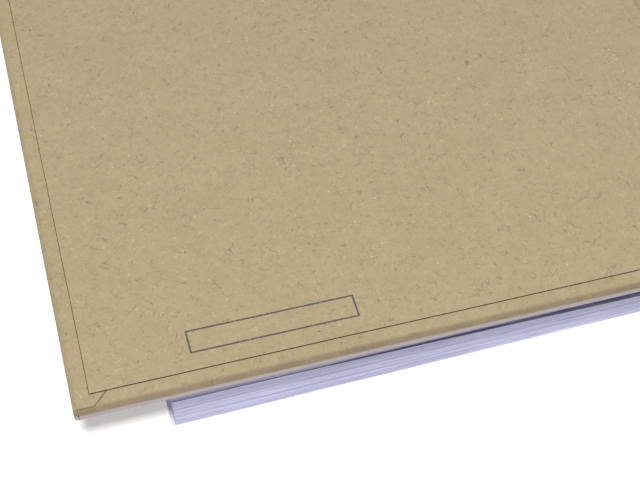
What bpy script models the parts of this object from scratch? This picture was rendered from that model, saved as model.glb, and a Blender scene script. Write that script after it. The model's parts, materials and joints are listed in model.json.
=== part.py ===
"""Pocket notebook with kraft-covered boards, its front cover folded right round behind it.

It lies turned over, first leaf down. From the bottom up come the leaves, the back cover that
they are glued to, and the front cover with its inner face up. +X points to the spine,
-Y to the tail, +Z up. The origin is the middle of the first leaf's lower face.
Lengths are in metres.
"""

import math

import bmesh
import bpy
from mathutils import Matrix, Vector

MM = 0.001

# Leaves: an A6 page, in sewn sections with one loose leaf on each side.
LEAF_WIDTH = 105.0 * MM
LEAF_HEIGHT = 148.0 * MM
LEAF_THICK = 0.12 * MM
SECTION_COUNT = 6
SECTION_THICK = 1.6 * MM
SECTION_FOLD_RADIUS = 0.6 * MM
FORE_EDGE_STEP = 0.1 * MM

# Covers: a grey board in kraft paper, lined on its inner face.
BOARD_THICK = 1.5 * MM
WRAP_THICK = 0.18 * MM
LINING_THICK = 0.12 * MM
TURN_IN = 14.0 * MM
SPINE_TURN_IN = 3.0 * MM
COVER_EDGE_RADIUS = 0.4 * MM
SQUARE = 2.5 * MM
LINING_INSET = 2.5 * MM
LINING_SPINE_INSET = 1.0 * MM

# Spine of the leaves.
THREAD_DIAMETER = 0.4 * MM
THREAD_STATIONS = 6
THREAD_END = 1.0 * MM
GAUZE_THICK = 0.25 * MM
GAUZE_SHORTER = 6.0 * MM
LINER_THICK = 0.15 * MM
LINER_SHORTER = 2.0 * MM

# Fits.
GLUE_LINE = 0.05 * MM
FOLD_GAP = 1.0 * MM
TOUCH_GAP = 0.3 * MM
CLOSED_GAP = 0.1 * MM
SPINE_CLEARANCE = 0.3 * MM
BACK_JOINT = 6.5 * MM
FRONT_JOINT = 4.0 * MM
SPINE_END_GAP = 0.5 * MM
FOLD_STEPS = 12

# The stack, from the first leaf up.
LEAVES_THICK = 2 * LEAF_THICK + SECTION_COUNT * SECTION_THICK + (SECTION_COUNT + 1) * GLUE_LINE
WRAPPED_THICK = BOARD_THICK + 2 * WRAP_THICK + 2 * GLUE_LINE
COVER_THICK = WRAPPED_THICK + GLUE_LINE + LINING_THICK
BACK_INNER_Z = LEAVES_THICK + GLUE_LINE
BACK_OUTER_Z = BACK_INNER_Z + COVER_THICK

# Along X, from the fore-edge of the leaves to the fold.
FORE_EDGE_X = -LEAF_WIDTH / 2
SEWN_X = LEAF_WIDTH / 2
THREAD_X = SEWN_X + GLUE_LINE + THREAD_DIAMETER / 2
GAUZE_X = THREAD_X + THREAD_DIAMETER / 2 + GLUE_LINE
LINER_X = GAUZE_X + GAUZE_THICK + GLUE_LINE
SPINE_FACE_X = LINER_X + LINER_THICK

# The back joint's axis runs midway between the two covers where they fold.
BACK_AXIS_X = SPINE_FACE_X + SPINE_CLEARANCE + COVER_THICK + FOLD_GAP / 2
BACK_AXIS_Z = BACK_OUTER_Z + FOLD_GAP / 2

# The front joint's axis lies in the inner face of the spine strip. Its distance from the
# back axis closes the front cover flat on the first leaf.
FRONT_AXIS_RISE = FOLD_GAP / 2 + COVER_THICK
FRONT_AXIS_REACH = BACK_AXIS_Z + CLOSED_GAP
FRONT_AXIS_X = BACK_AXIS_X - FRONT_AXIS_REACH
FRONT_AXIS_Z = BACK_AXIS_Z + FRONT_AXIS_RISE

# Closed, the front cover stands past the leaves by SQUARE.
FRONT_WIDTH = BACK_AXIS_X - FRONT_AXIS_RISE - FRONT_JOINT - FORE_EDGE_X + SQUARE
FRONT_HEIGHT = LEAF_HEIGHT + 2 * SQUARE
COVER_LEAN = math.asin((FOLD_GAP - TOUCH_GAP) / (FRONT_AXIS_X - FORE_EDGE_X))

KRAFT = (0.47, 0.38, 0.26, 1.0)
KRAFT_LINING = (0.49, 0.40, 0.28, 1.0)
GREY_BOARD = (0.33, 0.31, 0.28, 1.0)
PAPER = (0.80, 0.80, 0.86, 1.0)
COTTON = (0.86, 0.85, 0.80, 1.0)
GLUE_PAPER = (0.70, 0.62, 0.50, 1.0)


def clear_scene():
    for thing in list(bpy.data.objects):
        bpy.data.objects.remove(thing, do_unlink=True)


def make_collection(name):
    made = bpy.data.collections.new(name)
    bpy.context.scene.collection.children.link(made)
    return made


def make_material(name, color, roughness):
    made = bpy.data.materials.new(name)
    made.use_nodes = True
    shader = made.node_tree.nodes["Principled BSDF"]
    shader.inputs["Base Color"].default_value = color
    shader.inputs["Roughness"].default_value = roughness
    shader.inputs["Metallic"].default_value = 0.0
    return made


def make_object(name, bm, collection, material=None):
    mesh = bpy.data.meshes.new(name)
    bm.to_mesh(mesh)
    bm.free()
    made = bpy.data.objects.new(name, mesh)
    collection.objects.link(made)
    if material:
        mesh.materials.append(material)
    return made


def box_mesh(low, high):
    """A box between two corners."""
    low = Vector(low)
    high = Vector(high)
    bm = bmesh.new()
    size = high - low
    place = Matrix.Translation((low + high) / 2) @ Matrix.Diagonal((*size, 1.0))
    bmesh.ops.create_cube(bm, size=1.0, matrix=place)
    return bm


def round_edges(bm, edges, radius, segments):
    bmesh.ops.bevel(
        bm,
        geom=list(edges),
        offset=radius,
        offset_type="OFFSET",
        segments=segments,
        profile=0.5,
        affect="EDGES",
    )


def add_sheet(name, low, high, look):
    """A flat sheet: a leaf, a lining or a liner."""
    return make_object(name, box_mesh(low, high), PARTS, make_material(name, *look))


def add_section(name, low, high, look):
    """A folded section of leaves, round where it is folded at the spine."""
    bm = box_mesh(low, high)
    middle_z = (low[2] + high[2]) / 2
    folds = [
        edge
        for edge in bm.edges
        if all(abs(corner.co.x - high[0]) < GLUE_LINE for corner in edge.verts)
        and abs(edge.verts[0].co.z - edge.verts[1].co.z) < GLUE_LINE
        and abs(edge.verts[0].co.z - middle_z) > SECTION_THICK / 4
    ]
    round_edges(bm, folds, SECTION_FOLD_RADIUS, 3)
    return make_object(name, bm, PARTS, make_material(name, *look))


def cut(target, name, low, high):
    """Take a box out of a part with a cutter that stays in its own collection."""
    cutter = make_object(name, box_mesh(low, high), CUTTERS)
    cutter.hide_render = True
    cutter.display_type = "WIRE"
    cutter.parent = target.parent
    boolean = target.modifiers.new(name, "BOOLEAN")
    boolean.object = cutter
    boolean.operation = "DIFFERENCE"
    boolean.solver = "EXACT"


def add_cover(prefix, low, high, inner_up, side_turn_in, parent=None):
    """A grey board and its kraft wrap, between the wrap's corners low and high.

    The wrap covers the outer face and all four edges, and turns in over the inner face.
    """
    low = Vector(low)
    high = Vector(high)
    skin = Vector((WRAP_THICK, WRAP_THICK, WRAP_THICK))
    glue = Vector((GLUE_LINE, GLUE_LINE, GLUE_LINE))
    wrap_mesh = box_mesh(low, high)
    round_edges(wrap_mesh, wrap_mesh.edges, COVER_EDGE_RADIUS, 3)
    wrap = make_object(prefix + "_wrap", wrap_mesh, PARTS, make_material(prefix + "_wrap", KRAFT, 0.85))
    wrap.parent = parent
    cut(wrap, prefix + "_board_space", low + skin, high - skin)

    window_low = low + Vector((side_turn_in, TURN_IN, 0.0))
    window_high = high - Vector((side_turn_in, TURN_IN, 0.0))
    if inner_up:
        window_low.z = (low.z + high.z) / 2
        window_high.z = high.z + WRAP_THICK
    else:
        window_low.z = low.z - WRAP_THICK
        window_high.z = (low.z + high.z) / 2
    cut(wrap, prefix + "_turn_in_window", window_low, window_high)

    board_mesh = box_mesh(low + skin + glue, high - skin - glue)
    board_look = make_material(prefix + "_board", GREY_BOARD, 0.9)
    board = make_object(prefix + "_board", board_mesh, PARTS, board_look)
    board.parent = parent


def make_leaves():
    """The first leaf, the sewn sections and the last leaf, from the bottom up."""
    half = LEAF_HEIGHT / 2
    look = (PAPER, 0.8)
    top = LEAF_THICK
    add_sheet("first_leaf", (FORE_EDGE_X, -half, 0.0), (SEWN_X, half, top), look)
    for number in range(1, SECTION_COUNT + 1):
        bottom = top + GLUE_LINE
        top = bottom + SECTION_THICK
        fore_edge = FORE_EDGE_X + FORE_EDGE_STEP * (SECTION_COUNT - number)
        name = "section_%d" % number
        add_section(name, (fore_edge, -half, bottom), (SEWN_X, half, top), look)
    bottom = top + GLUE_LINE
    add_sheet("last_leaf", (FORE_EDGE_X, -half, bottom), (SEWN_X, half, bottom + LEAF_THICK), look)


def make_sewing():
    """One thread that links the sections along their backs, up one station and down the next."""
    low_z = THREAD_END
    high_z = LEAVES_THICK - THREAD_END
    route = []
    for station in range(THREAD_STATIONS):
        along = LEAF_HEIGHT * ((station + 0.5) / THREAD_STATIONS - 0.5)
        ends = (low_z, high_z) if station % 2 == 0 else (high_z, low_z)
        route += [(THREAD_X, along, z) for z in ends]
    curve = bpy.data.curves.new("sewing_thread", "CURVE")
    curve.dimensions = "3D"
    curve.bevel_depth = THREAD_DIAMETER / 2
    curve.bevel_resolution = 2
    curve.use_fill_caps = True
    line = curve.splines.new("POLY")
    line.points.add(len(route) - 1)
    for point, place in zip(line.points, route):
        point.co = (*place, 1.0)
    curve.materials.append(make_material("sewing_thread", COTTON, 0.9))
    PARTS.objects.link(bpy.data.objects.new("sewing_thread", curve))


def make_spine_linings():
    """The gauze over the sewing and the paper liner over the gauze."""
    gauze = (LEAF_HEIGHT - GAUZE_SHORTER) / 2
    liner = (LEAF_HEIGHT - LINER_SHORTER) / 2
    low_z = LEAF_THICK
    high_z = LEAVES_THICK - LEAF_THICK
    add_sheet(
        "spine_gauze",
        (GAUZE_X, -gauze, low_z),
        (GAUZE_X + GAUZE_THICK, gauze, high_z),
        (COTTON, 0.95),
    )
    add_sheet(
        "spine_liner",
        (LINER_X, -liner, low_z),
        (LINER_X + LINER_THICK, liner, high_z),
        (GLUE_PAPER, 0.85),
    )


def make_back_cover():
    """The back cover, cut to the size of the leaves and glued to the last one."""
    half = LEAF_HEIGHT / 2
    spine_edge = BACK_AXIS_X - BACK_JOINT
    wrap_low_z = BACK_INNER_Z + LINING_THICK + GLUE_LINE
    add_cover(
        "back",
        (FORE_EDGE_X, -half, wrap_low_z),
        (spine_edge, half, BACK_OUTER_Z),
        inner_up=False,
        side_turn_in=TURN_IN,
    )
    inset = LINING_INSET
    add_sheet(
        "back_lining",
        (FORE_EDGE_X + inset, -half + inset, BACK_INNER_Z),
        (spine_edge - LINING_SPINE_INSET, half - inset, BACK_INNER_Z + LINING_THICK),
        (KRAFT_LINING, 0.85),
    )


def make_spine_strip():
    """The stiff strip between the two joints, flat on the back cover."""
    half = FRONT_HEIGHT / 2
    low_z = BACK_AXIS_Z + FOLD_GAP / 2
    low_x = FRONT_AXIS_X + SPINE_END_GAP
    high_x = BACK_AXIS_X - SPINE_END_GAP
    turn_in = SPINE_TURN_IN
    top_z = low_z + WRAPPED_THICK
    add_cover("spine", (low_x, -half, low_z), (high_x, half, top_z), True, turn_in)
    add_sheet(
        "spine_strip_lining",
        (low_x + LINING_SPINE_INSET, -half + LINING_INSET, top_z + GLUE_LINE),
        (high_x - LINING_SPINE_INSET, half - LINING_INSET, top_z + GLUE_LINE + LINING_THICK),
        (KRAFT_LINING, 0.85),
    )


def make_front_cover():
    """The front cover, which leans from the fold down to the back cover's fore-edge."""
    hinge = bpy.data.objects.new("front_joint_axis", None)
    PARTS.objects.link(hinge)
    hinge.location = (FRONT_AXIS_X, 0.0, FRONT_AXIS_Z)
    hinge.rotation_euler = (0.0, -COVER_LEAN, 0.0)

    half = FRONT_HEIGHT / 2
    spine_edge = -FRONT_JOINT
    fore_edge = spine_edge - FRONT_WIDTH
    wrap_top = -LINING_THICK - GLUE_LINE
    add_cover(
        "front",
        (fore_edge, -half, wrap_top - WRAPPED_THICK),
        (spine_edge, half, wrap_top),
        inner_up=True,
        side_turn_in=TURN_IN,
        parent=hinge,
    )
    lining = add_sheet(
        "front_lining",
        (fore_edge + LINING_INSET, -half + LINING_INSET, -LINING_THICK),
        (spine_edge - LINING_SPINE_INSET, half - LINING_INSET, 0.0),
        (KRAFT_LINING, 0.85),
    )
    lining.parent = hinge


def add_bent_paper(name, path, half_width):
    """A strip of kraft that follows a path in the XZ plane, its thickness on the path's left."""
    bm = bmesh.new()
    near = [bm.verts.new((x, -half_width, z)) for x, z in path]
    for first, second in zip(near, near[1:]):
        bm.edges.new((first, second))
    grown = bmesh.ops.extrude_edge_only(bm, edges=bm.edges[:])
    far = [item for item in grown["geom"] if isinstance(item, bmesh.types.BMVert)]
    bmesh.ops.translate(bm, verts=far, vec=(0.0, 2 * half_width, 0.0))
    paper = make_object(name, bm, PARTS, make_material(name, KRAFT, 0.85))
    wall = paper.modifiers.new("thickness", "SOLIDIFY")
    wall.thickness = WRAP_THICK
    wall.offset = 0.0
    wall.use_even_offset = True


def make_joint_papers():
    """The kraft between the boards: wrapped round the fold at the back, flat at the front."""
    radius = FOLD_GAP / 2 + WRAP_THICK / 2
    outer_z = BACK_AXIS_Z - radius
    strip_z = BACK_AXIS_Z + radius
    lead = SPINE_END_GAP - GLUE_LINE
    fold = [(BACK_AXIS_X - BACK_JOINT + GLUE_LINE, outer_z)]
    for step in range(FOLD_STEPS + 1):
        turn = math.pi * step / FOLD_STEPS - math.pi / 2
        fold.append((BACK_AXIS_X + radius * math.cos(turn), BACK_AXIS_Z + radius * math.sin(turn)))
    fold.append((BACK_AXIS_X - lead, strip_z))
    add_bent_paper("back_joint_paper", fold, LEAF_HEIGHT / 2)

    drop = FRONT_JOINT * math.sin(COVER_LEAN)
    flat = [(FRONT_AXIS_X + lead, strip_z), (FRONT_AXIS_X, strip_z)]
    flat.append((FRONT_AXIS_X - FRONT_JOINT + SPINE_END_GAP, strip_z - drop))
    add_bent_paper("front_joint_paper", flat, FRONT_HEIGHT / 2)


clear_scene()
PARTS = make_collection("pocket_notebook")
CUTTERS = make_collection("cutters")
make_leaves()
make_sewing()
make_spine_linings()
make_back_cover()
make_spine_strip()
make_front_cover()
make_joint_papers()
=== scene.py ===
# %% [markdown]
# # A kraft pocket notebook, folded right back
#
# The notebook lies on its leaves with the front cover folded round behind it, so the cover's
# inner face is on top. We load the engineered model first and then make each kraft and leaf
# paper again with the detail that a close look needs; the boards, thread, gauze and liner keep
# their engineered shape and get new materials.

# %% Load the frame
import json
import math
import random

import bpy
from mathutils import Matrix, Vector, noise


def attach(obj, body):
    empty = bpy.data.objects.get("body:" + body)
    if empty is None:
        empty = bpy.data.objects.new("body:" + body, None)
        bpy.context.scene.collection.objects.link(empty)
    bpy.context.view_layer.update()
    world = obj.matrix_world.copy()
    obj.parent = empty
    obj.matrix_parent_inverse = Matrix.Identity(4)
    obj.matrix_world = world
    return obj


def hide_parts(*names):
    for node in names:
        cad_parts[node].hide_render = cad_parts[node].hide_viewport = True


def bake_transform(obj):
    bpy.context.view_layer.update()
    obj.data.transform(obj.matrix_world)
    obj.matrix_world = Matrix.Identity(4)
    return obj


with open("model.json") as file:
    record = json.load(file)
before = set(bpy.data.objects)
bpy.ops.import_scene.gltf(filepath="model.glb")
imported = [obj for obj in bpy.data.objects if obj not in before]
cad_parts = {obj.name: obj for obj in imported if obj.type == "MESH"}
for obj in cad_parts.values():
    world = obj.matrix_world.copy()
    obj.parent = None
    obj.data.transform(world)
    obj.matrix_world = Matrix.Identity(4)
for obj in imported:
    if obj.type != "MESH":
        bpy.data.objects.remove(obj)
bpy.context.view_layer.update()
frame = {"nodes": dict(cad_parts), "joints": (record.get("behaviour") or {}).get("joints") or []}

MM = 0.001
nodes = frame["nodes"]
joints = {joint["name"]: joint for joint in frame["joints"]}

# %% [markdown]
# ## Where things are
#
# The front cover leans a little, because it is held up at the fold and comes down almost to
# the back cover at the fore-edge. The closing joint turns a quarter turn plus that lean, so the
# lean comes from the joint's range. We measure the leaning pieces in the cover's own upright
# axes, model them there, and lean the finished mesh.

# %% Measure nodes in their own axes
front_axis = Vector(joints["front_joint"]["pos_m"])
lean_angle = math.radians(joints["front_joint"]["range_deg"][1] - 90)
upright = Matrix.Identity(4)
leaning = Matrix.Translation(front_axis) @ Matrix.Rotation(-lean_angle, 4, "Y")


def measured(node, axes=upright):
    """The lowest and highest corners of a node, in the given axes."""
    inverse = axes.inverted()
    places = [inverse @ v.co for v in nodes[node].data.vertices]
    low = Vector([min(p[i] for p in places) for i in range(3)])
    high = Vector([max(p[i] for p in places) for i in range(3)])
    return low, high


cover_low, cover_high = measured("front_wrap", leaning)
print("lean in degrees", round(math.degrees(lean_angle), 3), "cover in mm",
      [round(s / MM, 2) for s in cover_high - cover_low])

# %% [markdown]
# ## Small helpers for working by hand
#
# Operators act on what is selected, so each step starts from nothing selected. Faces and
# vertices are picked by their place, which is what a person does with the mouse.


# %% Helpers for edit mode
HAIR = 0.002 * MM
WELD = 0.001 * MM


def eased(value, start, end):
    """A smooth step from 0 at start to 1 at end."""
    share = min(1.0, max(0.0, (value - start) / (end - start)))
    return share * share * (3 - 2 * share)


def start_clean():
    if bpy.context.object and bpy.context.object.mode != "OBJECT":
        bpy.ops.object.mode_set(mode="OBJECT")
    bpy.ops.object.select_all(action="DESELECT")


def pick(test, kind="VERT"):
    """In edit mode, select the vertices, edges or faces whose every corner passes the test."""
    piece = bpy.context.object
    bpy.ops.mesh.select_mode(type=kind)
    bpy.ops.mesh.select_all(action="DESELECT")
    bpy.ops.object.mode_set(mode="OBJECT")
    mesh = piece.data
    groups = {"VERT": mesh.vertices, "EDGE": mesh.edges, "FACE": mesh.polygons}[kind]
    chosen = 0
    for item in groups:
        corners = [item.index] if kind == "VERT" else item.vertices
        item.select = all(test(mesh.vertices[i].co) for i in corners)
        chosen += item.select
    bpy.ops.object.mode_set(mode="EDIT")
    return chosen


def apply_place(piece):
    """Put the object's place and turn into its mesh."""
    start_clean()
    piece.select_set(True)
    bpy.context.view_layer.objects.active = piece
    bpy.ops.object.transform_apply(location=True, rotation=True, scale=True)


def apply_modifier(piece, kind, **settings):
    modifier = piece.modifiers.new(kind.lower(), kind)
    for name, value in settings.items():
        setattr(modifier, name, value)
    start_clean()
    bpy.context.view_layer.objects.active = piece
    piece.select_set(True)
    bpy.ops.object.modifier_apply(modifier=modifier.name)


def add_block(name, low, high):
    """A cube primitive stretched between two corners."""
    start_clean()
    bpy.ops.mesh.primitive_cube_add(size=1, location=(Vector(low) + Vector(high)) / 2)
    piece = bpy.context.object
    piece.name = name
    piece.scale = Vector(high) - Vector(low)
    apply_place(piece)
    return piece


def cut_through(place, normal):
    """In edit mode, cut all the faces along a plane and keep both sides.

    Bisect snaps to corners within its threshold, and its own threshold is wider than our seam.
    """
    bpy.ops.mesh.select_mode(type="VERT")
    bpy.ops.mesh.select_all(action="SELECT")
    bpy.ops.mesh.bisect(plane_co=place, plane_no=normal, threshold=HAIR / 4)


def face_out(piece):
    start_clean()
    bpy.context.view_layer.objects.active = piece
    piece.select_set(True)
    bpy.ops.object.mode_set(mode="EDIT")
    bpy.ops.mesh.select_all(action="SELECT")
    bpy.ops.mesh.remove_doubles(threshold=WELD)
    bpy.ops.mesh.normals_make_consistent(inside=False)
    bpy.ops.object.mode_set(mode="OBJECT")


def smooth(piece, angle=35):
    start_clean()
    bpy.context.view_layer.objects.active = piece
    piece.select_set(True)
    bpy.ops.object.shade_smooth_by_angle(angle=math.radians(angle))


# %% [markdown]
# ## Shader maths as plain expressions
#
# A material here is a sum of masks: fibres, flecks, soft blotches. Writing it as nodes by
# hand is slow to read, so a small class wraps a socket. Adding or multiplying two of them
# adds the Math node, and one method adds every other kind of node.


# %% The shader helper
class Wire:
    """One value in a node tree."""

    def __init__(self, tree, socket):
        self.tree = tree
        self.socket = socket

    def maths(self, operation, first, second):
        return add_node(self.tree, "ShaderNodeMath", {"operation": operation}, {0: first, 1: second})

    def __add__(self, other):
        return self.maths("ADD", self, other)

    __radd__ = __add__

    def __mul__(self, other):
        return self.maths("MULTIPLY", self, other)

    __rmul__ = __mul__

    def __sub__(self, other):
        return self.maths("SUBTRACT", self, other)

    def __rsub__(self, other):
        return self.maths("SUBTRACT", other, self)

    def above(self, edge, width):
        """0 below edge, 1 above edge + width, and a soft step between."""
        settings = {"interpolation_type": "SMOOTHSTEP"}
        inputs = {"Value": self, "From Min": edge, "From Max": edge + width}
        return add_node(self.tree, "ShaderNodeMapRange", settings, inputs)


def add_node(tree, kind, settings=None, inputs=None, output=0):
    """Add a node, set it up, connect its inputs and return one output."""
    node = tree.nodes.new(kind)
    for name, value in (settings or {}).items():
        setattr(node, name, value)
    for name, value in (inputs or {}).items():
        if isinstance(value, Wire):
            tree.links.new(value.socket, node.inputs[name])
        else:
            node.inputs[name].default_value = value
    return Wire(tree, node.outputs[output])


def linear(red, green, blue):
    """A colour as a screen shows it, 0 to 255, in the linear values that shaders use."""
    def one(value):
        value /= 255
        return value / 12.92 if value <= 0.04045 else ((value + 0.055) / 1.055) ** 2.4
    return one(red), one(green), one(blue)


def blend_color(tree, amount, first, second):
    """Mix two colours, each a Wire or three numbers."""
    settings = {"data_type": "RGBA"}
    colors = {}
    for slot, color in ((6, first), (7, second)):
        colors[slot] = color if isinstance(color, Wire) else (*color, 1.0)
    return add_node(tree, "ShaderNodeMix", settings, {0: amount, **colors}, output=2)


def new_material(name):
    """An empty material: its tree, its shader and the object's own coordinates."""
    material = bpy.data.materials.new(name)
    material.use_nodes = True
    tree = material.node_tree
    shader = tree.nodes["Principled BSDF"]
    place = add_node(tree, "ShaderNodeTexCoord", output=3)
    return material, tree, shader, place


def stretched(tree, place, scale=(1, 1, 1), shift=(0, 0, 0)):
    """The same coordinates, stretched and moved, so that two patterns don't fall together."""
    inputs = {"Vector": place, "Scale": scale, "Location": shift}
    return add_node(tree, "ShaderNodeMapping", None, inputs)


def grain(tree, place, size, detail=2.0, distortion=0.0, roughness=0.5):
    """Noise whose blobs are about size across, from 0 to 1."""
    inputs = {"Vector": place, "Scale": 1 / size, "Detail": detail, "Distortion": distortion,
              "Roughness": roughness}
    return add_node(tree, "ShaderNodeTexNoise", None, inputs)


# %% [markdown]
# ## Kraft paper
#
# Kraft is unbleached wood fibre. Close up it is a warm tan with soft cloudy blotches, some a
# little green and some a little pink, a fine sandy grain, and short bent fibres, both darker
# and paler than the ground. A fibre is a thin level line of a noise, and a second, finer
# noise breaks that line into short pieces.
#
# Where the paper is folded over a board it is darkened, partly as crease wear and partly as
# painted shade on the bend and in the seam grooves. Below the fold the edge walls get a cool
# grey that is painted shade, standing in for the bluish fill light on them. The wraps store
# those two values on their vertices when they are made.

# %% Kraft material
FIBRE_WIDTH = 0.012


def fibres(tree, place, size, shift, rarity):
    """Short bent lines: where one noise is at its middle and another is high."""
    moved = stretched(tree, place, shift=(shift, shift * 0.7, shift * 0.3))
    field = grain(tree, moved, size, detail=0.5, distortion=0.8)
    away = add_node(tree, "ShaderNodeMath", {"operation": "ABSOLUTE"}, {0: field - 0.5})
    line = 1 - away.above(FIBRE_WIDTH * 0.4, FIBRE_WIDTH)
    chop = grain(tree, moved, size * 0.8, detail=0.0).above(rarity, 0.04)
    return line * chop


def kraft_color(tree, place, ground):
    """The colour and the height of the paper's surface."""
    cloud = grain(tree, place, 9 * MM, detail=3.0, roughness=0.6)
    tint = grain(tree, stretched(tree, place, shift=(0.3, 0.1, 0.2)), 5 * MM, detail=4.0, roughness=0.65)
    sand = grain(tree, place, 0.3 * MM, detail=3.0, roughness=0.7)
    pulp = grain(tree, place, 1.1 * MM, detail=4.0, roughness=0.7, distortion=0.8)
    dark_fibres = fibres(tree, place, 1.2 * MM, 0.11, 0.54) + fibres(tree, place, 2.0 * MM, 0.47, 0.57)
    dark_fibres = dark_fibres + fibres(tree, place, 0.8 * MM, 0.65, 0.52) * 0.6
    pale_fibres = fibres(tree, place, 1.5 * MM, 0.83, 0.56) + fibres(tree, place, 0.9 * MM, 0.29, 0.55)
    fleck_place = stretched(tree, place, shift=(0.9, 0.4, 0.6))
    flecks = grain(tree, fleck_place, 0.4 * MM, detail=0.0).above(0.82, 0.04)
    speck_place = stretched(tree, place, shift=(0.5, 0.8, 0.1))
    specks = grain(tree, speck_place, 0.6 * MM, detail=1.0).above(0.74, 0.04)

    color = blend_color(tree, tint.above(0.38, 0.24), linear(*ground[0]), linear(*ground[1]))
    color = blend_color(tree, cloud.above(0.3, 0.4) * 0.35, color, linear(*ground[2]))
    color = blend_color(tree, pulp.above(0.45, 0.2) * 0.5, color, linear(*ground[3]))
    color = blend_color(tree, sand.above(0.42, 0.26) * 0.4, color, linear(*ground[2]))
    color = blend_color(tree, dark_fibres * 0.5, color, linear(120, 102, 76))
    color = blend_color(tree, specks * 0.35, color, linear(114, 94, 70))
    color = blend_color(tree, pale_fibres * 0.5, color, linear(196, 179, 144))
    color = blend_color(tree, flecks * 0.6, color, linear(216, 203, 172))
    height = pulp * 0.5 + sand * 0.35 + pale_fibres * 0.25 - dark_fibres * 0.12
    return color, height


KRAFT_GROUND = ((172, 153, 120), (164, 152, 115), (178, 161, 126), (155, 140, 104))
LINING_GROUND = ((171, 154, 121), (167, 152, 118), (177, 160, 127), (157, 142, 108))


def painted(tree, name):
    """A value from 0 to 1 that is stored on the piece's own vertices."""
    return add_node(tree, "ShaderNodeAttribute", {"attribute_name": name}, output=2)


def kraft_material(name, ground, ink=None, wear_and_shade_edges=False):
    material, tree, shader, place = new_material(name)
    color, height = kraft_color(tree, place, ground)
    if wear_and_shade_edges:
        patchy = 0.6 + grain(tree, place, 4 * MM, detail=3.0) * 0.7
        # Painted shade: a cool grey on the wrap's edge walls below the fold, standing in for the bluish fill
        # light there.
        color = blend_color(tree, painted(tree, "painted_edge_shade") * 0.75, color, linear(164, 157, 162))
        # Dark brown on the folds and in the seams: partly crease wear, partly painted shade in the bend and
        # in the seam grooves.
        color = blend_color(tree, painted(tree, "crease_wear_and_shade") * patchy * 0.62, color, linear(94, 78, 62))
    if ink:
        color = blend_color(tree, ink(tree, place) * 0.9, color, linear(72, 66, 72))
    tree.links.new(color.socket, shader.inputs["Base Color"])
    bump = add_node(tree, "ShaderNodeBump", None, {"Height": height, "Distance": 0.00006, "Strength": 0.55})
    tree.links.new(bump.socket, shader.inputs["Normal"])
    rough = 0.78 + height * 0.12
    tree.links.new(rough.socket, shader.inputs["Roughness"])
    return material


kraft = kraft_material("kraft_paper", KRAFT_GROUND, wear_and_shade_edges=True)
print("kraft nodes", len(kraft.node_tree.nodes))

# %% [markdown]
# The lining inside the cover carries a small print near its tail corner. Ours is plain: a
# narrow ruled box where an owner writes a name. It is a mask made from the object's own X
# and Y, a wide rectangle less a slightly smaller one, so that it stays put on the paper.

# %% A ruled name box on the lining
NAME_BOX_LOW = Vector((16.4, 5.0)) * MM
NAME_BOX_HIGH = Vector((40.2, 8.6)) * MM
NAME_LINE_WIDTH = 0.26 * MM
INK_EDGE = 0.04 * MM


def inside_box(along, up, low, high):
    """1 inside a rectangle and 0 outside it."""
    across = along.above(low.x, INK_EDGE) * (1 - along.above(high.x, INK_EDGE))
    return across * up.above(low.y, INK_EDGE) * (1 - up.above(high.y, INK_EDGE))


def name_box(tree, place):
    parts = tree.nodes.new("ShaderNodeSeparateXYZ")
    tree.links.new(place.socket, parts.inputs[0])
    along = Wire(tree, parts.outputs[0])
    up = Wire(tree, parts.outputs[1])
    corner = (leaning @ Vector((cover_low.x, cover_low.y, 0))).xy
    line = Vector((NAME_LINE_WIDTH, NAME_LINE_WIDTH))
    whole = inside_box(along, up, corner + NAME_BOX_LOW, corner + NAME_BOX_HIGH)
    middle = inside_box(along, up, corner + NAME_BOX_LOW + line, corner + NAME_BOX_HIGH - line)
    worn = grain(tree, place, 0.2 * MM, detail=2.0).above(0.22, 0.2)
    return (whole - middle) * worn


lining_kraft = kraft_material("kraft_lining", LINING_GROUND, ink=name_box)
plain_lining = kraft_material("kraft_lining_plain", LINING_GROUND)

# %% [markdown]
# ## The other materials
#
# A cut edge of kraft is darker than its face, because it shows fibre ends and glue, and the
# linings' cut edges are darker still as painted shade, standing in for the thin shadow line
# along a lining's edge. Grey board is pressed waste paper, with flecks. Leaf paper is smooth
# and faintly blue. On its cut edges each leaf catches the light a little differently, so that
# material changes quickly with height and slowly along the edge.


# %% Cut edge, grey board and liner paper
def plain_paper(name, dark, light, size, roughness, lift):
    material, tree, shader, place = new_material(name)
    rough_grain = grain(tree, place, size, detail=5.0, roughness=0.7)
    speck_place = stretched(tree, place, shift=(0.2, 0.5, 0.7))
    speck = grain(tree, speck_place, size * 0.6, detail=0.0).above(0.72, 0.05)
    color = blend_color(tree, rough_grain.above(0.3, 0.4), linear(*dark), linear(*light))
    color = blend_color(tree, speck * 0.5, color, linear(*dark))
    tree.links.new(color.socket, shader.inputs["Base Color"])
    bump = add_node(tree, "ShaderNodeBump", None, {"Height": rough_grain, "Distance": lift, "Strength": 0.6})
    tree.links.new(bump.socket, shader.inputs["Normal"])
    shader.inputs["Roughness"].default_value = roughness
    return material


# Painted shade: these edge colours are darker than bare cut kraft, standing in for the thin shadow line
# along a lining's edge.
dark_edge_and_shade = plain_paper("kraft_edge_fibre_and_shade", (38, 28, 16), (66, 52, 34), 0.4 * MM, 0.95, 0.00003)
grey_board = plain_paper("grey_board", (132, 128, 120), (168, 164, 156), 0.7 * MM, 0.9, 0.00006)
liner_paper = plain_paper("spine_liner_paper", (196, 178, 148), (214, 198, 170), 1.2 * MM, 0.85, 0.00004)


# %% [markdown]
# A leaf is thin, so its cut edge is a line. Noise that is squeezed hard in height and drawn
# out along the edge gives many fine lines, and a coarser one gathers them into bands.

# %% Leaf paper
LEAF_PITCH = 0.12 * MM


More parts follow.
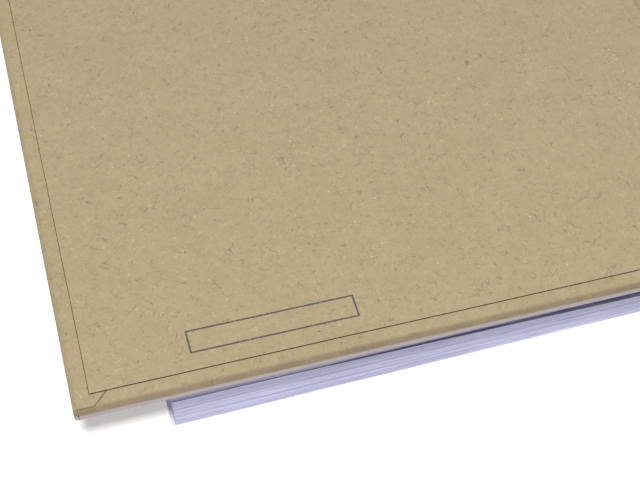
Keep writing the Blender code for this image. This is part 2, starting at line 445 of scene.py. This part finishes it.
def leaf_material(name, bright, shaded):
    material, tree, shader, place = new_material(name)
    streaks = grain(tree, stretched(tree, place, scale=(0.012, 0.012, 1)), LEAF_PITCH, detail=1.0)
    bands = grain(tree, stretched(tree, place, scale=(0.03, 0.03, 1)), 5 * LEAF_PITCH, detail=2.0)
    tooth = grain(tree, place, 0.25 * MM, detail=3.0)
    tone = streaks * 0.6 + bands * 0.4
    color = blend_color(tree, tone.above(0.32, 0.36), linear(*shaded), linear(*bright))
    tree.links.new(color.socket, shader.inputs["Base Color"])
    height = streaks * 0.6 + tooth * 0.4
    bump = add_node(tree, "ShaderNodeBump", None, {"Height": height, "Distance": 0.00003, "Strength": 0.4})
    tree.links.new(bump.socket, shader.inputs["Normal"])
    shader.inputs["Roughness"].default_value = 0.75
    return material


leaf_paper = leaf_material("leaf_paper", (200, 199, 223), (165, 163, 191))
loose_leaf_paper = leaf_material("loose_leaf_paper", (220, 219, 242), (204, 203, 228))


# %% [markdown]
# Gauze and thread are cotton. A weave could be modelled thread by thread, but it is hidden
# in the spine, so two sets of ridges at right angles in the bump are enough.

# %% Cotton for the gauze and the thread
def woven_material(name, pitch, light, dark):
    """An open weave: two sets of ridges at right angles."""
    material, tree, shader, place = new_material(name)
    ridges = []
    for axis in ("Y", "Z"):
        settings = {"wave_type": "BANDS", "bands_direction": axis, "wave_profile": "SIN"}
        inputs = {"Vector": place, "Scale": 0.314 / pitch, "Distortion": 0.4, "Detail": 1.0}
        ridges.append(add_node(tree, "ShaderNodeTexWave", settings, inputs, output=1))
    weave = add_node(tree, "ShaderNodeMath", {"operation": "MAXIMUM"}, {0: ridges[0], 1: ridges[1]})
    color = blend_color(tree, weave.above(0.3, 0.5), linear(*dark), linear(*light))
    tree.links.new(color.socket, shader.inputs["Base Color"])
    bump = add_node(tree, "ShaderNodeBump", None, {"Height": weave, "Distance": 0.0001, "Strength": 0.7})
    tree.links.new(bump.socket, shader.inputs["Normal"])
    shader.inputs["Roughness"].default_value = 0.95
    return material


gauze = woven_material("gauze_weave", 0.9 * MM, (232, 228, 214), (176, 168, 148))
twine = woven_material("cotton_twine", 0.3 * MM, (238, 234, 224), (196, 188, 170))

# %% [markdown]
# ## Kraft wraps
#
# The wrap is one sheet glued round the board. Its four flaps turn in over the inner face and
# meet in slanted seams at the corners, and each seam ends in a small tuck round the corner.
# We start from a cube, round its edges, cut the seams with thin planes, press the middle of
# each seam down into a groove, open the window that the flaps leave, and give the sheet its
# thickness. The folds and seams are darkened, partly as crease wear and partly as painted
# shade, and the edge walls get a cool grey painted shade, so both are stored as numbers on
# the vertices, for the kraft material to read.

# %% Sizes of a wrap
WRAP_THICK = 0.18 * MM
EDGE_RADIUS = 0.42 * MM
EDGE_SEGMENTS = 5
EDGE_CUT = 0.7 * MM
TURN_IN = 14 * MM
SPINE_TURN_IN = 3 * MM
SEAM_OFFSET = 2.2 * MM
SEAM_HALF_WIDTH = 0.11 * MM
SEAM_DEPTH = 0.17 * MM
TUCK_INSET = 0.62 * MM
FOLD_START = EDGE_RADIUS * 0.4
CREASE_REACH = 0.95 * MM
SIDE_CREASE = 0.3
PAPER_WAVE = 0.035 * MM
WAVE_SHARE_UP = 0.4
WAVE_SHARE_ACROSS = 0.5
WAVE_LENGTH = 11 * MM
CUT_SPACING = 6 * MM


# %% [markdown]
# A seam is a groove one vertex wide. Three cuts close together give a middle line and its two
# banks, and only the middle line is pushed in.

# %% The seams
def press(test, push):
    """In edit mode, push the chosen vertices in to make a groove."""
    found = pick(test)
    bpy.ops.transform.translate(value=push)
    return found


def seam_groove(corner, inward_x, inward_y, top, bottom):
    """Cut one slanted seam near a corner, and the tuck that leads it round the corner."""
    normal = Vector((inward_y, -inward_x, 0)).normalized()
    start = Vector((corner.x + inward_x * SEAM_OFFSET, corner.y, 0))
    tuck_y = corner.y + inward_y * TUCK_INSET
    tuck_x = corner.x + inward_x * TUCK_INSET
    for side in (-1, 0, 1):
        cut_through(start + normal * side * SEAM_HALF_WIDTH, normal)
        cut_through((0, tuck_y + side * SEAM_HALF_WIDTH, 0), (0, 1, 0))
        cut_through((tuck_x + side * SEAM_HALF_WIDTH, 0, 0), (1, 0, 0))

    def up_and_near(co):
        near = max(abs(co.x - corner.x) - SEAM_OFFSET, abs(co.y - corner.y)) < TURN_IN
        return near and co.z > top - HAIR

    def on_slant(co):
        past_tuck = (co.y - tuck_y) * inward_y > -HAIR
        return up_and_near(co) and past_tuck and abs((co - start).dot(normal)) < HAIR

    def on_tuck(co):
        along = (co.x - corner.x) * inward_x
        return up_and_near(co) and abs(co.y - tuck_y) < HAIR and along < SEAM_OFFSET + TUCK_INSET

    def on_corner(co):
        face = abs(co.y - corner.y) < HAIR and abs(co.x - tuck_x) < HAIR
        return face and bottom + EDGE_RADIUS < co.z < top - EDGE_RADIUS * 0.5

    found = press(on_slant, (0, 0, -SEAM_DEPTH))
    found += press(on_tuck, (0, 0, -SEAM_DEPTH))
    found += press(on_corner, (0, inward_y * SEAM_DEPTH, 0))
    return found


# %% [markdown]
# The crease wear and painted shade could be painted by hand. They are worked out from each
# vertex's distance to the edges instead, so that they follow the wrap at any size. Only the
# edges get the cool grey painted shade, because a cover's wide faces keep their colour.

# %% Crease wear and painted shade on the edges
def paint_edges(piece, low, high):
    """Store the crease wear and painted shade on folds and in seams, and the cool painted shade on the edge
    walls.
    """
    crease_wear_and_shade = piece.data.attributes.new("crease_wear_and_shade", "FLOAT", "POINT")
    painted_edge_shade = piece.data.attributes.new("painted_edge_shade", "FLOAT", "POINT")
    wall_end = high.z - low.z - EDGE_RADIUS
    for vertex in piece.data.vertices:
        co = vertex.co
        depth = high.z - co.z
        from_tail = min(co.y - low.y, high.y - co.y)
        from_side = min(co.x - low.x, high.x - co.x)
        from_edge = min(from_tail, from_side)
        in_flap_seam = from_edge > EDGE_RADIUS + HAIR and is_pressed(depth)
        in_wall_seam = EDGE_RADIUS < depth < wall_end and is_pressed(from_tail)
        down = 1 - eased(depth, EDGE_RADIUS, CREASE_REACH)
        along_tail = 1 - eased(from_tail, FOLD_START, CREASE_REACH)
        along_side = (1 - eased(from_side, FOLD_START, CREASE_REACH)) * SIDE_CREASE
        fold = down * max(along_tail, along_side)
        # Seams get the full darkening, painted shade in their grooves; folds get a share that is partly
        # crease wear and partly painted shade.
        crease_wear_and_shade.data[vertex.index].value = 1.0 if in_flap_seam or in_wall_seam else fold
        outer = 1 - eased(from_edge, FOLD_START, CREASE_REACH)
        # Painted cool shade on the edge walls, from below the fold down, only near the edges.
        painted_edge_shade.data[vertex.index].value = eased(depth, EDGE_RADIUS * 0.5, CREASE_REACH) * outer


def is_pressed(depth):
    """Whether a vertex lies about as deep as a seam is pressed."""
    return SEAM_DEPTH * 0.5 < depth < SEAM_DEPTH * 1.5


# %% [markdown]
# The tray is cut and pressed while it is a plain skin, and its thickness comes last, so that
# the inside follows every groove.

# %% The wrap builder
def make_wrap(name, low, high, side_turn_in):
    """A wrap with its inner face up, between two corners."""
    piece = add_block(name, low, high)
    bpy.ops.object.mode_set(mode="EDIT")
    bpy.ops.mesh.select_all(action="SELECT")
    bpy.ops.mesh.bevel(offset=EDGE_RADIUS, segments=EDGE_SEGMENTS, affect="EDGES")
    steps = int((high.y - low.y) / CUT_SPACING)
    for step in range(1, steps):
        cut_through((0, low.y + (high.y - low.y) * step / steps, 0), (0, 1, 0))
    steps = int((high.x - low.x) / CUT_SPACING)
    for step in range(1, steps):
        cut_through((low.x + (high.x - low.x) * step / steps, 0, 0), (1, 0, 0))
    for x in (low.x + side_turn_in, high.x - side_turn_in):
        cut_through((x, 0, 0), (1, 0, 0))
    for y in (low.y + TURN_IN, high.y - TURN_IN):
        cut_through((0, y, 0), (0, 1, 0))
    for inset in (EDGE_CUT, CREASE_REACH):
        cut_through((0, low.y + inset, 0), (0, 1, 0))
        cut_through((0, high.y - inset, 0), (0, 1, 0))
        cut_through((low.x + inset, 0, 0), (1, 0, 0))
        cut_through((high.x - inset, 0, 0), (1, 0, 0))
        cut_through((0, 0, high.z - inset), (0, 0, 1))
    pressed = 0
    if side_turn_in == TURN_IN:
        for x, inward_x in ((low.x, 1), (high.x, -1)):
            for y, inward_y in ((low.y, 1), (high.y, -1)):
                pressed += seam_groove(Vector((x, y, 0)), inward_x, inward_y, high.z, low.z)
    opened = pick(
        lambda co: co.z > high.z - HAIR - SEAM_DEPTH
        and low.x + side_turn_in - HAIR < co.x < high.x - side_turn_in + HAIR
        and low.y + TURN_IN - HAIR < co.y < high.y - TURN_IN + HAIR,
        "FACE",
    )
    bpy.ops.mesh.delete(type="FACE")
    bpy.ops.object.mode_set(mode="OBJECT")
    paint_edges(piece, low, high)
    for vertex in piece.data.vertices:
        wave = noise.noise(vertex.co / WAVE_LENGTH) * PAPER_WAVE
        vertex.co.z += wave * WAVE_SHARE_UP
        if vertex.co.z < high.z - EDGE_RADIUS * 0.5:
            vertex.co.y += wave
            vertex.co.x += wave * WAVE_SHARE_ACROSS
    face_out_open(piece)
    apply_modifier(piece, "SOLIDIFY", thickness=WRAP_THICK, offset=-1.0, use_even_offset=True)
    print(name, "seam vertices", pressed, "window faces", opened, "faces", len(piece.data.polygons))
    return piece


def face_out_open(piece):
    """Turn an open tray's faces outwards."""
    start_clean()
    bpy.context.view_layer.objects.active = piece
    piece.select_set(True)
    bpy.ops.object.mode_set(mode="EDIT")
    bpy.ops.mesh.select_all(action="SELECT")
    bpy.ops.mesh.normals_make_consistent(inside=False)
    bpy.ops.object.mode_set(mode="OBJECT")


def settle(piece, body, replaced, materials, angle=35):
    """Finish a piece: materials, smooth shading, and its place in the frame."""
    for material in materials:
        piece.data.materials.append(material)
    smooth(piece, angle)
    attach(piece, body)
    for node in replaced:
        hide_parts(node)


# %% [markdown]
# The front cover's wrap is modelled upright and then leant over. The spine strip is narrow, so
# its side flaps are short and its corners have no slanted seam.

# %% The front and spine wraps
def lay(piece, matrix):
    """Move a finished mesh by a matrix, in its vertices."""
    piece.data.transform(matrix)
    piece.data.update()


front_wrap = make_wrap("front_cover_wrap", cover_low, cover_high, TURN_IN)
lay(front_wrap, leaning)
settle(front_wrap, "front_cover", ["front_wrap"], [kraft])

spine_low, spine_high = measured("spine_wrap")
spine_wrap = make_wrap("spine_strip_wrap", spine_low, spine_high, SPINE_TURN_IN)
settle(spine_wrap, "spine_strip", ["spine_wrap"], [kraft])

# %% [markdown]
# The back cover's inner face is down, against the leaves. It is made inner face up like the
# others, and then half a turn about its own long axis lays it down.

# %% The back wrap, turned over
back_low, back_high = measured("back_wrap")
back_middle = (back_low + back_high) / 2
half_turn = Matrix.Rotation(math.pi, 4, "Y")
turn_over = Matrix.Translation(back_middle) @ half_turn @ Matrix.Translation(-back_middle)
back_wrap = make_wrap("back_cover_wrap", back_low, back_high, TURN_IN)
lay(back_wrap, turn_over)
settle(back_wrap, "leaves_and_back", ["back_wrap"], [kraft])

# %% [markdown]
# ## Linings
#
# Each lining is a second sheet of kraft glued over the flaps. Its cut edge draws the fine
# dark line round the inside of a cover, so the edge gets a material of its own, partly the
# darker fibre ends and glue and partly painted shade for the thin shadow line at the edge. The
# edge isn't ruler straight: the sheet wanders by a few hundredths of a millimetre, and the
# knife leaves it a little wider at the bottom.

# %% The lining builder
EDGE_WANDER = 0.05 * MM
WANDER_LENGTH = 7 * MM
KNIFE_SLOPE = 0.08 * MM
LINING_CUT_SPACING = 5 * MM


def make_lining(name, low, high, face_material):
    piece = add_block(name, low, high)
    bpy.ops.object.mode_set(mode="EDIT")
    for axis in (0, 1):
        span = high[axis] - low[axis]
        steps = max(2, int(span / LINING_CUT_SPACING))
        for step in range(1, steps):
            place = [0, 0, 0]
            normal = [0, 0, 0]
            place[axis] = low[axis] + span * step / steps
            normal[axis] = 1
            cut_through(place, normal)
    bpy.ops.object.mode_set(mode="OBJECT")
    piece.data.materials.append(face_material)
    # The lining's side faces take the dark edge material, partly fibre ends and glue, partly painted shade.
    piece.data.materials.append(dark_edge_and_shade)
    for face in piece.data.polygons:
        face.material_index = 0 if abs(face.normal.z) > 0.5 else 1
    for vertex in piece.data.vertices:
        co = vertex.co
        wander = noise.noise(Vector((co.x, co.y, 0)) / WANDER_LENGTH) * EDGE_WANDER
        spread = KNIFE_SLOPE if co.z < (low.z + high.z) / 2 else 0.0
        for axis in (0, 1):
            if co[axis] - low[axis] < HAIR:
                co[axis] += wander - spread
            elif high[axis] - co[axis] < HAIR:
                co[axis] += wander + spread
    return piece


# %% [markdown]
# Each cover and the spine strip has a lining. Only the front one carries the name box.

# %% The three linings
lining_low, lining_high = measured("front_lining", leaning)
front_lining = make_lining("front_lining_sheet", lining_low, lining_high, lining_kraft)
lay(front_lining, leaning)
settle(front_lining, "front_cover", ["front_lining"], [])

strip_low, strip_high = measured("spine_strip_lining")
strip_lining = make_lining("spine_lining_sheet", strip_low, strip_high, plain_lining)
settle(strip_lining, "spine_strip", ["spine_strip_lining"], [])

back_lining_low, back_lining_high = measured("back_lining")
back_lining = make_lining("back_lining_sheet", back_lining_low, back_lining_high, plain_lining)
settle(back_lining, "leaves_and_back", ["back_lining"], [])
print("front lining in mm", [round(s / MM, 2) for s in lining_high - lining_low])

# %% [markdown]
# ## Sections of leaves
#
# A section is eight sheets folded once, one inside the other. Each sheet is a strip that is
# spun half a turn round the fold and extruded back to the fore-edge. The sheets slip against
# each other by a few hundredths of a millimetre, which gives the cut edges their fine lines.
#
# Leaves that have been folded back don't lie quite square. Their tail edge runs a little out
# of line with the cover, and at the tail they part between the third and fourth section. Below
# the parting they fan up at the fore-edge and sink towards the spine, and behind their lip
# they sag, so that the parting looks dark. We build every sheet flat and square, and then
# move its vertices by one rule that all the leaves share, so that no leaf passes through its
# neighbour. Near the tail the rule spreads or squeezes the leaves by up to nearly half, which
# real paper would not do. It is the price of leaving both covers where they are.

# %% How the leaves lie at the tail
leaves_low, leaves_high = measured("first_leaf")
block_top = measured("last_leaf")[1].z
parting_from = measured("section_3")[1].z
parting_to = measured("section_4")[0].z
OUT_OF_SQUARE = 1.6 * MM
LIFT_AT_FORE_EDGE = 2.0 * MM
DROP_TOWARDS_SPINE = 2.55 * MM
SAG_BEHIND_LIP = 0.9 * MM
PARTING = 1.2 * MM
HAIRLINE = 0.22 * MM
PARTING_SPAN = (0.1, 0.85)
DROP_SPAN = (0.0, 1.05)
WHOLE_HEIGHT_DEPTH = 4 * MM
PARTING_DEPTH = 34 * MM
LIP_DEPTH = 3 * MM
FREE_FROM_SPINE = 16 * MM
SEWN_FROM_SPINE = 3 * MM


def settle_leaf(co):
    """Where a point of a square, flat block lies once the leaves have parted at the tail."""
    near_tail = 1 - eased(co.y, leaves_low.y + WHOLE_HEIGHT_DEPTH, leaves_low.y + PARTING_DEPTH)
    at_lip = 1 - eased(co.y, leaves_low.y, leaves_low.y + LIP_DEPTH)
    along = (co.x - leaves_low.x) / (leaves_high.x - leaves_low.x)
    free = 1 - eased(co.x, leaves_high.x - FREE_FROM_SPINE, leaves_high.x - SEWN_FROM_SPINE)
    gap = (HAIRLINE + PARTING * eased(along, *PARTING_SPAN)) * near_tail * free
    lift = (LIFT_AT_FORE_EDGE - DROP_TOWARDS_SPINE * eased(along, *DROP_SPAN)) * free
    sag = SAG_BEHIND_LIP * (near_tail - at_lip) * free
    if co.z < (parting_from + parting_to) / 2:
        z = co.z * (parting_from + lift * at_lip - sag) / parting_from
    else:
        floor_of_upper = parting_to + lift * near_tail + gap
        z = block_top - (block_top - co.z) * (block_top - floor_of_upper) / (block_top - parting_to)
    tail_share = max(0.0, min(1.0, (leaves_high.y - co.y) / (leaves_high.y - leaves_low.y)))
    return Vector((co.x, co.y + OUT_OF_SQUARE * along * tail_share, z))


def settle_leaves(piece):
    for vertex in piece.data.vertices:
        vertex.co = settle_leaf(vertex.co)
    piece.data.update()


# %% [markdown]
# A sheet bends along the cuts we give it, so the cuts lie closest together near the tail,
# where the leaves part.

# %% The section builder
SHEETS_PER_SECTION = 8
SHEET_GAP = 0.012 * MM
SHEET_SLIP = 0.05 * MM
FOLD_STEPS = 6
LEAF_CUTS_ALONG = 14
LEAF_CUTS_UP = (0.8, 1.8, 3.0, 4.2, 6.0, 10.0, 15.0, 20.0, 25.0, 30.0, 34.0)
dice = random.Random(7)


def add_leaf_cuts(low, high):
    """In edit mode, cut lines where the leaves will bend, closer together at the tail."""
    for step in range(1, LEAF_CUTS_ALONG):
        cut_through((low.x + (high.x - low.x) * step / LEAF_CUTS_ALONG, 0, 0), (1, 0, 0))
    for up in LEAF_CUTS_UP:
        cut_through((0, low.y + up * MM, 0), (0, 1, 0))


def folded_sheet(low, high, inset, thickness):
    """One folded sheet, its outer surface inset inside the section's outline."""
    radius = (high.z - low.z) / 2 - inset - thickness / 2
    middle = (high.z + low.z) / 2
    fold_x = high.x - (high.z - low.z) / 2
    slip_x = dice.uniform(-1, 1) * SHEET_SLIP
    slip_y = dice.uniform(-1, 1) * SHEET_SLIP
    fore_edge = low.x + abs(slip_x)
    start_clean()
    bpy.ops.mesh.primitive_plane_add(size=1, location=((fore_edge + fold_x) / 2, slip_y, middle - radius))
    sheet = bpy.context.object
    sheet.scale = (fold_x - fore_edge, high.y - low.y - 2 * SHEET_SLIP, 1)
    apply_place(sheet)
    bpy.ops.object.mode_set(mode="EDIT")
    pick(lambda co: co.x > fold_x - HAIR, "EDGE")
    bpy.ops.mesh.spin(steps=FOLD_STEPS, angle=-math.pi, center=(fold_x, 0, middle), axis=(0, 1, 0))
    pick(lambda co: co.z > middle + radius - HAIR * 0.1, "EDGE")
    bpy.ops.mesh.extrude_region_move(TRANSFORM_OT_translate={"value": (fore_edge - fold_x, 0, 0)})
    add_leaf_cuts(Vector((fore_edge, low.y, 0)), Vector((fold_x, high.y, 0)))
    bpy.ops.object.mode_set(mode="OBJECT")
    apply_modifier(sheet, "SOLIDIFY", thickness=thickness, offset=0.0)
    return sheet


def make_section(name, low, high):
    pitch = (high.z - low.z) / (2 * SHEETS_PER_SECTION)
    sheets = [
        folded_sheet(low, high, number * pitch, pitch - SHEET_GAP)
        for number in range(SHEETS_PER_SECTION)
    ]
    start_clean()
    for sheet in sheets:
        sheet.select_set(True)
    bpy.context.view_layer.objects.active = sheets[0]
    bpy.ops.object.join()
    section = bpy.context.object
    section.name = name
    face_out(section)
    settle_leaves(section)
    return section


# %% [markdown]
# Every section is built the same way between the corners of its own engineered node.

# %% The six sections
section_nodes = sorted(name for name in nodes if name.startswith("section_"))
for node in section_nodes:
    low, high = measured(node)
    section = make_section(node + "_sheets", low, high)
    settle(section, "leaves_and_back", [node], [leaf_paper])
print("sections", len(section_nodes), "faces each", len(section.data.polygons))

# %% [markdown]
# ## The first and last leaves
#
# The single leaves are flat sheets outside the sections. They follow the same rule as the
# rest of the leaves, and the first one lies flat on the table.

# %% Single leaves
def make_leaf(node, name):
    low, high = measured(node)
    leaf = add_block(name, low, high)
    bpy.ops.object.mode_set(mode="EDIT")
    add_leaf_cuts(low, high)
    bpy.ops.object.mode_set(mode="OBJECT")
    settle_leaves(leaf)
    settle(leaf, "leaves_and_back", [node], [loose_leaf_paper])
    return leaf


for node in ("last_leaf", "first_leaf"):
    leaf = make_leaf(node, node + "_sheet")
    print(leaf.name, "faces", len(leaf.data.polygons))

# %% [markdown]
# ## Joint papers
#
# Between the boards the kraft bends. At the back joint it goes round the fold, half a turn;
# at the front joint it lies flat. Both are made in the shape they have now.

# %% The back joint
back_axis = Vector(joints["back_joint"]["pos_m"])
joint_low, joint_high = measured("back_joint_paper")
fold_radius = (joint_high.z - joint_low.z) / 2 - WRAP_THICK / 2
JOINT_STEPS = 14
UPPER_RUN = 0.45 * MM


def strip_plane(name, x_from, x_to, half_width, z):
    start_clean()
    bpy.ops.mesh.primitive_plane_add(size=1, location=((x_from + x_to) / 2, 0, z))
    strip = bpy.context.object
    strip.name = name
    strip.scale = (abs(x_to - x_from), 2 * half_width, 1)
    apply_place(strip)
    return strip


back_joint = strip_plane(
    "back_joint_kraft", joint_low.x, back_axis.x, joint_high.y, back_axis.z - fold_radius
)
bpy.ops.object.mode_set(mode="EDIT")
pick(lambda co: co.x > back_axis.x - HAIR, "EDGE")
bpy.ops.mesh.spin(steps=JOINT_STEPS, angle=-math.pi, center=back_axis, axis=(0, 1, 0))
pick(lambda co: co.z > back_axis.z + fold_radius - HAIR * 0.1, "EDGE")
bpy.ops.mesh.extrude_region_move(TRANSFORM_OT_translate={"value": (-UPPER_RUN, 0, 0)})
bpy.ops.object.mode_set(mode="OBJECT")
apply_modifier(back_joint, "SOLIDIFY", thickness=WRAP_THICK, offset=0.0)
face_out(back_joint)
back_joint.data.materials.append(kraft)
smooth(back_joint)
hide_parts("back_joint_paper")
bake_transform(back_joint)
print("fold radius in mm", round(fold_radius / MM, 3))

# %% [markdown]
# The front joint lies flat as we see it, so its paper is a plane with cuts across it.

# %% The front joint
flat_low, flat_high = measured("front_joint_paper")
FRONT_JOINT_STEPS = 12
front_joint = strip_plane(
    "front_joint_kraft", flat_low.x, flat_high.x, flat_high.y, flat_high.z - WRAP_THICK / 2
)
bpy.ops.object.mode_set(mode="EDIT")
for step in range(1, FRONT_JOINT_STEPS):
    cut_through((flat_low.x + (flat_high.x - flat_low.x) * step / FRONT_JOINT_STEPS, 0, 0), (1, 0, 0))
bpy.ops.object.mode_set(mode="OBJECT")
apply_modifier(front_joint, "SOLIDIFY", thickness=WRAP_THICK, offset=0.0)
face_out(front_joint)
front_joint.data.materials.append(kraft)
smooth(front_joint)
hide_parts("front_joint_paper")
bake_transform(front_joint)

# %% [markdown]
# ## Pieces that keep their engineered shape
#
# The boards, thread, gauze and liner are right as they are. They only need their materials.

# %% Materials for the kept nodes
kept = {
    "front_board": grey_board,
    "back_board": grey_board,
    "spine_board": grey_board,
    "sewing_thread": twine,
    "spine_gauze": gauze,
    "spine_liner": liner_paper,
}
for node, material in kept.items():
    nodes[node].data.materials.clear()
    nodes[node].data.materials.append(material)
print("kept nodes", len(kept))

# %% [markdown]
# ## Floor, light and camera
#
# The notebook lies on a white sweep that glows faintly, so that its shadows stay pale. It
# stands a hair under the leaves, so that the two faces don't flicker.

# %% The floor
FLOOR_SIZE = 4
FLOOR_DROP = 0.02 * MM
FLOOR_GLOW = 0.22
start_clean()
bpy.ops.mesh.primitive_plane_add(size=FLOOR_SIZE, location=(0, 0, -FLOOR_DROP))
floor = bpy.context.object
floor.name = "floor"
floor_material = bpy.data.materials.new("white_sweep")
floor_material.use_nodes = True
floor_shader = floor_material.node_tree.nodes["Principled BSDF"]
floor_shader.inputs["Base Color"].default_value = (0.95, 0.95, 0.95, 1)
floor_shader.inputs["Roughness"].default_value = 0.9
floor_shader.inputs["Emission Color"].default_value = (1, 1, 1, 1)
floor_shader.inputs["Emission Strength"].default_value = FLOOR_GLOW
floor.data.materials.append(floor_material)

# %% [markdown]
# A small, strong light high on the tail side makes the cover's overhang shade the leaves. A
# wide, faint one fills the fore-edge side, and a pale sky does the rest.

# %% The lights
SKY_STRENGTH = 0.28
world = bpy.data.worlds.new("studio")
bpy.context.scene.world = world
world.use_nodes = True
world.node_tree.nodes["Background"].inputs["Color"].default_value = (0.90, 0.91, 1.0, 1)
world.node_tree.nodes["Background"].inputs["Strength"].default_value = SKY_STRENGTH
bpy.context.scene.view_settings.view_transform = "Standard"


def soft_light(name, place, power, size, color):
    lamp = bpy.data.lights.new(name, "AREA")
    lamp.energy = power
    lamp.size = size
    lamp.color = color
    holder = bpy.data.objects.new(name, lamp)
    holder.location = place
    holder.rotation_euler = (-Vector(place)).to_track_quat("-Z", "Y").to_euler()
    bpy.context.scene.collection.objects.link(holder)


soft_light("key_light", (-0.1, -0.42, 1.0), 10.7, 0.15, (1.0, 0.985, 0.96))
soft_light("fill_light", (-0.9, -0.5, 0.3), 1.5, 0.8, (0.8, 0.82, 1.0))

# %% [markdown]
# The camera looks down on the tail corner of the cover from the fore-edge side. It aims at a
# point measured from that corner, and its place is an angle and a distance from there.

# %% The camera
AZIMUTH = math.radians(-21.15)
ELEVATION = math.radians(54.44)
ROLL = math.radians(5.97)
LENS = 67.7
DISTANCE = 172.1 * MM
AIM_FROM_CORNER = Vector((38.41, 18.60, 0.46)) * MM

corner = leaning @ Vector((cover_low.x, cover_low.y, cover_high.z))
aim = corner + AIM_FROM_CORNER
away = Vector((
    math.sin(AZIMUTH) * math.cos(ELEVATION),
    -math.cos(AZIMUTH) * math.cos(ELEVATION),
    math.sin(ELEVATION),
))
camera_data = bpy.data.cameras.new("camera")
camera_data.lens = LENS
camera_data.sensor_width = 36
camera_data.clip_start = 0.01
camera = bpy.data.objects.new("camera", camera_data)
camera.location = aim + away * DISTANCE
camera.rotation_euler = (away.to_track_quat("Z", "Y").to_matrix() @ Matrix.Rotation(ROLL, 3, "Z")).to_euler()
bpy.context.scene.collection.objects.link(camera)
bpy.context.scene.camera = camera
print("camera at mm", [round(v / MM, 1) for v in camera.location])
